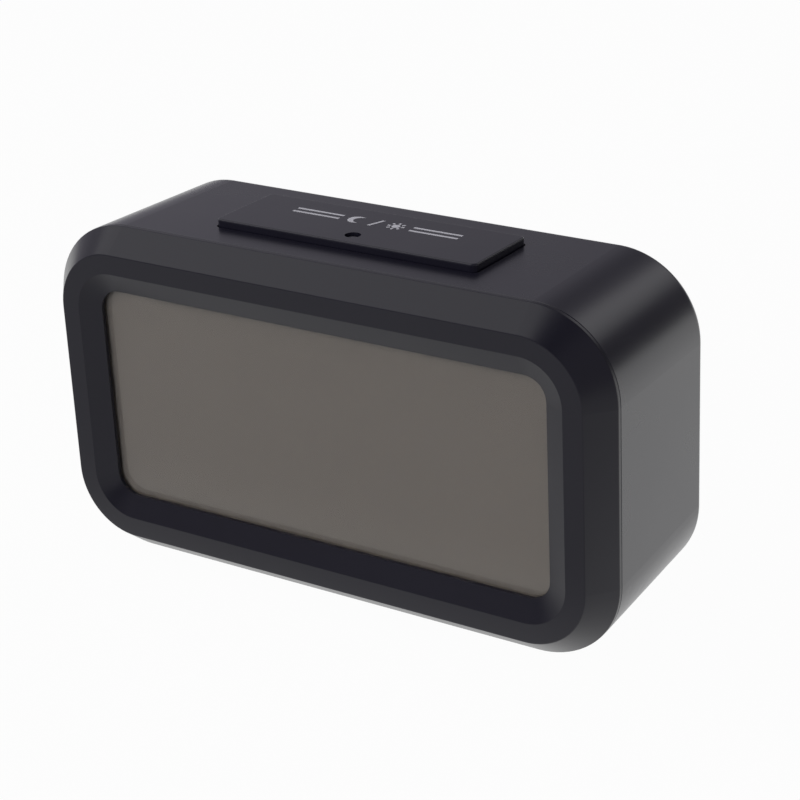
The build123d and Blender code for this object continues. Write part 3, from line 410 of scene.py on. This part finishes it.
# battery cells: lathed cans in shrink film, a pale band and sign at each plus end
cells = {
    "axis": 15.35,
    "rows": ((17.2, 1), (28.2, -1), (39.2, 1)),  # height, and which way the plus end points
    "start": -19.5,
    "radius": 5.25,
    "sides": 48,
    "profile": (  # along from the minus end, radius, finish of the stretch that ends there
        (0.12, 0.0, 0), (0.12, 3.7, 0), (0.02, 3.95, 0), (0.0, 4.35, 0), (0.0, 4.5, 1), (0.12, 4.92, 1),
        (0.45, 5.18, 1), (0.9, 5.25, 1), (31.5, 5.25, 1), (42.2, 5.25, 2), (42.75, 5.14, 2), (43.1, 4.85, 2),
        (43.2, 4.4, 2), (43.08, 4.2, 3), (43.04, 2.65, 3), (43.1, 2.3, 0), (43.3, 2.0, 0), (44.1, 1.9, 0),
        (44.4, 1.7, 0), (44.5, 1.3, 0), (44.5, 0.0, 0),
    ),
    "signs": ((36.5, 37.0, -1.1, 1.1), (35.65, 37.85, -0.25, 0.25), (5.0, 5.5, -1.1, 1.1)),  # along, then round
    "signSteps": 4,
    "signFinish": 4,
    "signRise": 0.03,
    "signSink": 0.04,
}


def makeCells():
    bm = bmesh.new()
    for height, turn in cells["rows"]:
        def spot(along, radius, angle):
            return Vector((turn * (cells["start"] + along), cells["axis"] + radius * math.cos(angle),
                           height + radius * math.sin(angle))) * mm

        before = None
        for along, radius, finish in cells["profile"]:
            angles = [2 * math.pi * i / cells["sides"] for i in range(cells["sides"] if radius else 1)]
            now = [bm.verts.new(spot(along, radius, a)) for a in angles]
            for i in range(cells["sides"] if before else 0):
                j = (i + 1) % cells["sides"]
                corners = [before[i % len(before)], before[j % len(before)], now[j % len(now)], now[i % len(now)]]
                face = bm.faces.new(list(dict.fromkeys(corners)))
                face.material_index = finish
                face.smooth = True
            before = now
        steps, finish = cells["signSteps"], cells["signFinish"]
        inside, outside = cells["radius"] - cells["signSink"], cells["radius"] + cells["signRise"]
        for first, last, low, high in cells["signs"]:
            loops = []
            for i in range(steps + 1):
                angle = (low + (high - low) * i / steps) / cells["radius"]
                loops.append([bm.verts.new(spot(a, r, angle)) for a, r in (
                    (first, inside), (last, inside), (last, outside), (first, outside))])
            for one, two in zip(loops, loops[1:]):
                for i in range(4):
                    j = (i + 1) % 4
                    bm.faces.new((one[i], one[j], two[j], two[i])).material_index = finish
            bm.faces.new(loops[0][::-1]).material_index = finish
            bm.faces.new(loops[-1]).material_index = finish
    materials = [finishes["nickel"], finishes["cell_jacket"], paleFilm, sealRing, sealRing]
    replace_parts(keep("batteryCells", bm, materials, "case"), "battery_cells")


makeCells()
print("battery cells made")


# Geometry Nodes: what repeats or is wound
def newTree(name, sizes):  # an empty tree with named inputs
    tree = bpy.data.node_groups.new(name, "GeometryNodeTree")
    tree.interface.new_socket("Geometry", in_out="INPUT", socket_type="NodeSocketGeometry")
    for label, kind in sizes.items():
        tree.interface.new_socket(label, in_out="INPUT", socket_type="NodeSocket" + kind)
    tree.interface.new_socket("Geometry", in_out="OUTPUT", socket_type="NodeSocketGeometry")
    return tree, add(tree, "NodeGroupInput").outputs


def grow(name, tree, places, turns, sizes):  # runs a tree on points and keeps the result as a plain mesh
    points = bpy.data.meshes.new(name + "Points")
    points.from_pydata([Vector(place) * mm for place in places], [], [])
    points.attributes.new("turn", "FLOAT_VECTOR", "POINT").data.foreach_set(
        "vector", [math.radians(angle) for turn in turns for angle in turn])
    piece = bpy.data.objects.new(name, points)
    bpy.context.collection.objects.link(piece)
    modifier = piece.modifiers.new(name, "NODES")
    modifier.node_group = tree
    for socket in tree.interface.items_tree:
        if socket.in_out == "INPUT" and socket.name in sizes:
            modifier[socket.identifier] = sizes[socket.name]
    depsgraph = bpy.context.evaluated_depsgraph_get()
    mesh = bpy.data.meshes.new_from_object(piece.evaluated_get(depsgraph), depsgraph=depsgraph)
    piece.modifiers.remove(modifier)
    piece.data = mesh
    bpy.data.meshes.remove(points)
    return piece


def setOut(tree, shape, given):  # puts a shape on every point, turned as the point says
    turn = add(tree, "GeometryNodeInputNamedAttribute", {"data_type": "FLOAT_VECTOR", "Name": "turn"})
    copies = add(tree, "GeometryNodeInstanceOnPoints", None,
                 {"Points": given["Geometry"], "Instance": shape, "Rotation": turn.outputs["Attribute"]})
    real = add(tree, "GeometryNodeRealizeInstances", None, {0: copies.outputs[0]})
    dressed = add(tree, "GeometryNodeSetMaterial", None, {"Geometry": real.outputs[0], "Material": given["finish"]})
    add(tree, "NodeGroupOutput", None, {0: dressed.outputs[0]})


def springTree():  # a wire wound on a cone, with a closed part turn at each end
    tree, given = newTree("batterySpring", {
        "wireRadius": "Float", "baseRadius": "Float", "tipRadius": "Float", "height": "Float", "turns": "Float",
        "closedTurns": "Float", "steps": "Int", "finish": "Material"})
    line = add(tree, "GeometryNodeCurvePrimitiveLine")
    wire = add(tree, "GeometryNodeResampleCurve", None, {"Curve": line.outputs[0], "Count": given["steps"]})
    along = add(tree, "GeometryNodeSplineParameter").outputs["Factor"]
    ends = add(tree, "ShaderNodeMath", {"operation": "MULTIPLY_ADD", 1: 2.0},
               {0: given["closedTurns"], 2: given["turns"]})
    wound = add(tree, "ShaderNodeMath", {"operation": "MULTIPLY"}, {0: along, 1: ends.outputs[0]})
    risen = add(tree, "ShaderNodeMath", {"operation": "ADD"}, {0: given["closedTurns"], 1: given["turns"]})
    climb = add(tree, "ShaderNodeMapRange", None, {
        "Value": wound.outputs[0], "From Min": given["closedTurns"], "From Max": risen.outputs[0]})
    radius = add(tree, "ShaderNodeMapRange", None, {
        "Value": climb.outputs[0], "To Min": given["baseRadius"], "To Max": given["tipRadius"]})
    angle = add(tree, "ShaderNodeMath", {"operation": "MULTIPLY", 1: 2 * math.pi}, {0: wound.outputs[0]})
    sides = []
    for wave in ("COSINE", "SINE"):
        part = add(tree, "ShaderNodeMath", {"operation": wave}, {0: angle.outputs[0]})
        side = add(tree, "ShaderNodeMath", {"operation": "MULTIPLY"}, {0: part.outputs[0], 1: radius.outputs[0]})
        sides.append(side.outputs[0])
    rise = add(tree, "ShaderNodeMath", {"operation": "MULTIPLY"}, {0: climb.outputs[0], 1: given["height"]})
    spot = add(tree, "ShaderNodeCombineXYZ", None, {0: sides[0], 1: sides[1], 2: rise.outputs[0]})
    bent = add(tree, "GeometryNodeSetPosition", None, {"Geometry": wire.outputs[0], "Position": spot.outputs[0]})
    section = add(tree, "GeometryNodeCurvePrimitiveCircle", {"Resolution": springs["wireSides"]},
                  {"Radius": given["wireRadius"]})
    solid = add(tree, "GeometryNodeCurveToMesh", {"Fill Caps": True},
                {"Curve": bent.outputs[0], "Profile Curve": section.outputs[0]})
    smooth = add(tree, "GeometryNodeSetShadeSmooth", None, {0: solid.outputs[0]})
    setOut(tree, smooth.outputs[0], given)
    return tree


springs = {
    "foot": -24.65,
    "wireSides": 12,
    "lengths": {"wireRadius": 0.3, "baseRadius": 3.4, "tipRadius": 2.2, "height": 4.8},
    "counts": {"turns": 3.0, "closedTurns": 0.55, "steps": 200},
}


def makeSprings():
    places = [(turn * springs["foot"], cells["axis"], height) for height, turn in cells["rows"]]
    turns = [(0, 90 * turn, 0) for height, turn in cells["rows"]]
    sizes = {key: size * mm for key, size in springs["lengths"].items()}
    sizes.update(springs["counts"], finish=finishes["nickel"])
    piece = grow("batterySprings", springTree(), places, turns, sizes)
    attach(piece, "case")
    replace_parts(piece, "battery_springs")


makeSprings()
print("springs wound")


def screwTree():  # pan head with a cross recess, tapered tip and a rolled thread
    tree, given = newTree("crossScrew", {
        "headRadius": "Float", "headHeight": "Float", "coreRadius": "Float", "shankLength": "Float",
        "threadTurns": "Float", "threadRise": "Float", "threadRadius": "Float", "tipLength": "Float",
        "recessLength": "Float", "recessWidth": "Float", "recessDepth": "Float", "finish": "Material"})
    rim = add(tree, "ShaderNodeMath", {"operation": "MULTIPLY", 1: screwShape["rim"]},
              {0: given["headHeight"]}).outputs[0]
    crown = add(tree, "ShaderNodeMath", {"operation": "SUBTRACT"}, {0: given["headHeight"], 1: rim}).outputs[0]
    narrow = add(tree, "ShaderNodeMath", {"operation": "MULTIPLY", 1: screwShape["crown"]},
                 {0: given["headRadius"]}).outputs[0]
    down = add(tree, "ShaderNodeMath", {"operation": "MULTIPLY", 1: -1.0}, {0: given["shankLength"]}).outputs[0]
    straight = add(tree, "ShaderNodeMath", {"operation": "SUBTRACT"},
                   {0: given["shankLength"], 1: given["tipLength"]}).outputs[0]
    point = add(tree, "ShaderNodeMath", {"operation": "MULTIPLY", 1: screwShape["point"]},
                {0: given["coreRadius"]}).outputs[0]
    shoulder = add(tree, "ShaderNodeMath", {"operation": "MULTIPLY", 1: -1.0}, {0: straight}).outputs[0]

    def drum(bottom, top, depth, base):  # a truncated cone that stands on a level
        cone = add(tree, "GeometryNodeMeshCone", {"Vertices": screwShape["sides"]},
                   {"Radius Bottom": bottom, "Radius Top": top, "Depth": depth})
        lift = add(tree, "ShaderNodeCombineXYZ", None, {2: base} if base else None)
        return add(tree, "GeometryNodeTransform", None,
                   {"Geometry": cone.outputs["Mesh"], "Translation": lift.outputs[0]}).outputs[0]

    lower = drum(given["headRadius"], given["headRadius"], rim, None)
    upper = drum(given["headRadius"], narrow, crown, rim)
    shank = drum(given["coreRadius"], given["coreRadius"], straight, shoulder)
    tip = drum(point, given["coreRadius"], given["tipLength"], down)
    body = add(tree, "GeometryNodeMeshBoolean", {"operation": "UNION", "solver": "EXACT"})
    for shape in (lower, upper, shank, tip):
        tree.links.new(shape, body.inputs["Mesh 2"])
    cut = add(tree, "GeometryNodeMeshBoolean", {"operation": "DIFFERENCE", "solver": "EXACT"},
              {"Mesh 1": body.outputs[0]})
    deep = add(tree, "ShaderNodeMath", {"operation": "MULTIPLY", 1: 2.0}, {0: given["recessDepth"]}).outputs[0]
    top = add(tree, "ShaderNodeCombineXYZ", None, {2: given["headHeight"]}).outputs[0]
    for first, second in (("recessLength", "recessWidth"), ("recessWidth", "recessLength")):
        size = add(tree, "ShaderNodeCombineXYZ", None, {0: given[first], 1: given[second], 2: deep})
        cube = add(tree, "GeometryNodeMeshCube", None, {"Size": size.outputs[0]})
        placed = add(tree, "GeometryNodeTransform", None, {"Geometry": cube.outputs["Mesh"], "Translation": top})
        tree.links.new(placed.outputs[0], cut.inputs["Mesh 2"])
    helix = add(tree, "GeometryNodeCurveSpiral", {"Resolution": screwShape["threadSteps"]}, {
        "Rotations": given["threadTurns"], "Start Radius": given["coreRadius"], "End Radius": given["coreRadius"],
        "Height": given["threadRise"]})
    section = add(tree, "GeometryNodeCurvePrimitiveCircle", {"Resolution": screwShape["threadSides"]},
                  {"Radius": given["threadRadius"]})
    thread = add(tree, "GeometryNodeCurveToMesh", {"Fill Caps": True},
                 {"Curve": helix.outputs[0], "Profile Curve": section.outputs[0]})
    low = add(tree, "ShaderNodeCombineXYZ", None, {2: shoulder})
    seated = add(tree, "GeometryNodeTransform", None, {"Geometry": thread.outputs[0], "Translation": low.outputs[0]})
    joined = add(tree, "GeometryNodeJoinGeometry")
    for shape in (seated.outputs[0], cut.outputs[0]):
        tree.links.new(shape, joined.inputs[0])
    setOut(tree, joined.outputs[0], given)
    return tree


screws = {
    "case": {"places": [(x, -9.5, z) for x in (-51.5, 51.5) for z in (8.0, 68.4)], "turn": (-90, 0, 20),
             "headRadius": 2.0, "headHeight": 1.5, "shankLength": 9.5},
    "board": {"places": [(x, -8.9, z) for x in (-24.0, 24.0) for z in (8.0, 68.4)], "turn": (-90, 0, 0),
              "headRadius": 1.9, "headHeight": 1.2, "shankLength": 5.0},
    "key": {"places": [(x, 12.3, 60.4) for x in (-44.5, 44.5)], "turn": (90, 0, 0),
            "headRadius": 1.9, "headHeight": 1.2, "shankLength": 5.0},
    "snooze": {"places": [(x, 2.173, 65.381) for x in (-38.0, 38.0)], "turn": (178.066, 0, 0),
               "headRadius": 1.9, "headHeight": 1.2, "shankLength": 5.0},
}
screwMake = {"coreRadius": 0.85, "threadRadius": 0.24, "pitch": 0.8, "tipLength": 1.2, "recessLength": 2.1,
             "recessWidth": 0.55, "recessDepth": 0.8}
screwShape = {
    "rim": 0.6,  # share of the head's height that is straight
    "crown": 0.72,  # share of the head's radius at its top
    "point": 0.35,  # share of the core's radius at the tip
    "sides": 32,
    "threadSteps": 24,  # in each turn
    "threadSides": 4,
}


def makeScrews():
    tree = screwTree()
    for kind, make in screws.items():
        sizes = {key: make[key] * mm for key in ("headRadius", "headHeight", "shankLength")}
        sizes.update({key: size * mm for key, size in screwMake.items() if key != "pitch"})
        rise = make["shankLength"] - screwMake["tipLength"] - screwMake["pitch"]
        sizes.update(threadTurns=rise / screwMake["pitch"], threadRise=rise * mm, finish=finishes["steel"])
        piece = grow(kind + "Screws", tree, make["places"], [make["turn"]] * len(make["places"]), sizes)
        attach(piece, "case")
        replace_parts(piece, kind + "_screws")


makeScrews()
print("screws made")

# floor: white paper that glows plain white to the eye; to shiny things its glow fades towards the front, a painted
# shade in the object's reflections
floorSheet = {
    "size": 20.0,
    "colour": "C8C8C8",
    "roughness": 0.9,
    "whiteness": 0.97,  # share of plain white that the eye sees
    "nearEdge": -0.06,  # painted shade: the paper's glow in shiny things fades from here
    "farEdge": -0.012,  # to here
    "nearShare": 0.27,
    "drop": 0.05,  # millimetres under the feet, so that the two never share a plane
}


def paperFloor():
    material, tree, shader, place = newMaterial("whitePaper")
    shader.inputs["Base Color"].default_value = linear(floorSheet["colour"])
    shader.inputs["Roughness"].default_value = floorSheet["roughness"]
    path = add(tree, "ShaderNodeLightPath")
    away = add(tree, "ShaderNodeSeparateXYZ", links={0: place})
    # painted shade: shiny things see the paper's glow fall to nearShare towards the front
    fall = add(tree, "ShaderNodeMapRange", {
        "interpolation_type": "SMOOTHSTEP",
        "From Min": floorSheet["nearEdge"],
        "From Max": floorSheet["farEdge"],
        "To Min": floorSheet["nearShare"],
    }, {"Value": away.outputs[1]})
    mirrored = add(tree, "ShaderNodeMath", {"operation": "MAXIMUM"},
                   {0: path.outputs["Is Glossy Ray"], 1: path.outputs["Is Transmission Ray"]})
    mirrored = add(tree, "ShaderNodeMath", {"operation": "MULTIPLY"}, {0: mirrored.outputs[0], 1: fall.outputs[0]})
    direct = add(tree, "ShaderNodeMath", {"operation": "MULTIPLY", 1: floorSheet["whiteness"]},
                 {0: path.outputs["Is Camera Ray"]})
    share = add(tree, "ShaderNodeMath", {"operation": "MAXIMUM"}, {0: direct.outputs[0], 1: mirrored.outputs[0]})
    glow = add(tree, "ShaderNodeEmission")
    mixed = add(tree, "ShaderNodeMixShader", links={0: share.outputs[0], 1: shader.outputs[0], 2: glow.outputs[0]})
    below = add(tree, "ShaderNodeMath", {"operation": "MULTIPLY"},
                {0: add(tree, "ShaderNodeNewGeometry").outputs["Backfacing"], 1: path.outputs["Is Camera Ray"]})
    clear = add(tree, "ShaderNodeBsdfTransparent")
    sheet = add(tree, "ShaderNodeMixShader", links={0: below.outputs[0], 1: mixed.outputs[0], 2: clear.outputs[0]})
    output = next(node for node in tree.nodes if node.type == "OUTPUT_MATERIAL")
    tree.links.new(sheet.outputs[0], output.inputs["Surface"])
    return material


def makeFloor():
    half, level = floorSheet["size"] / 2, -floorSheet["drop"] * mm
    corners = [(x * half, y * half, level) for x, y in ((-1, -1), (1, -1), (1, 1), (-1, 1))]
    mesh = bpy.data.meshes.new("floor")
    mesh.from_pydata(corners, [], [(0, 1, 2, 3)])
    floor = bpy.data.objects.new("floor", mesh)
    mesh.materials.append(paperFloor())
    bpy.context.collection.objects.link(floor)


makeFloor()

# lamps, by how bright their face is, where 1 is white
lampAim = (0, 0, 0.04)
softboxes = {
    "overheadLeft": {"place": (-0.46, -0.20, 0.78), "size": (0.75, 0.75), "level": 0.85, "mirrored": True},
    "rearRight": {"place": (0.30, 0.86, 0.66), "size": (0.42, 0.50), "level": 0.72, "mirrored": True},
    "frontFill": {"place": (-0.10, -1.15, 0.60), "size": (0.90, 0.60), "level": 3.2, "mirrored": False},
}


def makeLamps():
    for name, box in softboxes.items():
        lamp = bpy.data.lights.new(name, "AREA")
        lamp.shape = "RECTANGLE"
        lamp.size, lamp.size_y = box["size"]
        lamp.energy = box["level"] * math.pi * lamp.size * lamp.size_y
        holder = bpy.data.objects.new(name, lamp)
        holder.location = box["place"]
        holder.rotation_euler = (Vector(lampAim) - Vector(box["place"])).to_track_quat("-Z", "Y").to_euler()
        holder.visible_glossy = box["mirrored"]  # a fill leaves no highlight
        bpy.context.collection.objects.link(holder)


makeLamps()

# room: white to the eye, and to shiny things palest on the left, with two darker bands on the way to the right
room = {
    "seen": "FCFCFC",
    "tint": "F6F2FF",
    "wall": (-0.95, 0.30, 0.05),  # towards the pale wall
    "levels": (  # share of the way round to that wall, and how bright the room is there
        (0.20, 0.26), (0.36, 0.03), (0.60, 0.34), (0.74, 0.16), (0.93, 0.43),
    ),
}


def makeRoom():
    world = bpy.data.worlds.new("room")
    bpy.context.scene.world = world
    world.use_nodes = True
    tree = world.node_tree
    backdrop = next(node for node in tree.nodes if node.type == "BACKGROUND")
    away = add(tree, "ShaderNodeTexCoord").outputs["Generated"]
    towards = add(tree, "ShaderNodeVectorMath", {"operation": "DOT_PRODUCT", 1: Vector(room["wall"]).normalized()},
                  {0: away})
    turned = add(tree, "ShaderNodeMapRange", {"From Min": -1.0}, {"Value": towards.outputs["Value"]})
    shades = add(tree, "ShaderNodeValToRGB", None, {0: turned.outputs[0]})
    stops = shades.color_ramp.elements
    while len(stops) < len(room["levels"]):
        stops.new(1.0)
    for stop, (position, level) in zip(stops, room["levels"]):
        stop.position = position
        stop.color = [level * channel for channel in linear(room["tint"])]
    path = add(tree, "ShaderNodeLightPath")
    seen = add(tree, "ShaderNodeMix", {"data_type": "RGBA", 7: linear(room["seen"])},
               {0: path.outputs["Is Camera Ray"], 6: shades.outputs["Color"]})
    tree.links.new(seen.outputs[2], backdrop.inputs["Color"])


makeRoom()
print("floor, lamps and room made")

# camera, fitted to the photograph's view
view = {
    "azimuth": 34.104,  # degrees round from the front
    "elevation": 23.236,
    "roll": -2.975,
    "place": (0.249583, -0.365255, 0.235178),
    "lens": 103.285,
    "sensor": 36.0,
    "shift": (0.0278, -0.0348),
}


def makeCamera():
    turn, lift, roll = (math.radians(view[key]) for key in ("azimuth", "elevation", "roll"))
    ahead = Vector((-math.sin(turn) * math.cos(lift), math.cos(turn) * math.cos(lift), -math.sin(lift)))
    level = Vector((math.cos(turn), math.sin(turn), 0))
    above = level.cross(ahead)
    right = level * math.cos(roll) + above * math.sin(roll)
    up = above * math.cos(roll) - level * math.sin(roll)
    camera = bpy.data.cameras.new("camera")
    camera.lens = view["lens"]
    camera.sensor_width = view["sensor"]
    camera.shift_x, camera.shift_y = view["shift"]
    holder = bpy.data.objects.new("camera", camera)
    axes = Matrix((right, up, -ahead)).transposed()
    holder.matrix_world = Matrix.Translation(view["place"]) @ axes.to_4x4()
    bpy.context.collection.objects.link(holder)
    bpy.context.scene.camera = holder


makeCamera()
bpy.context.scene.view_settings.view_transform = "Standard"
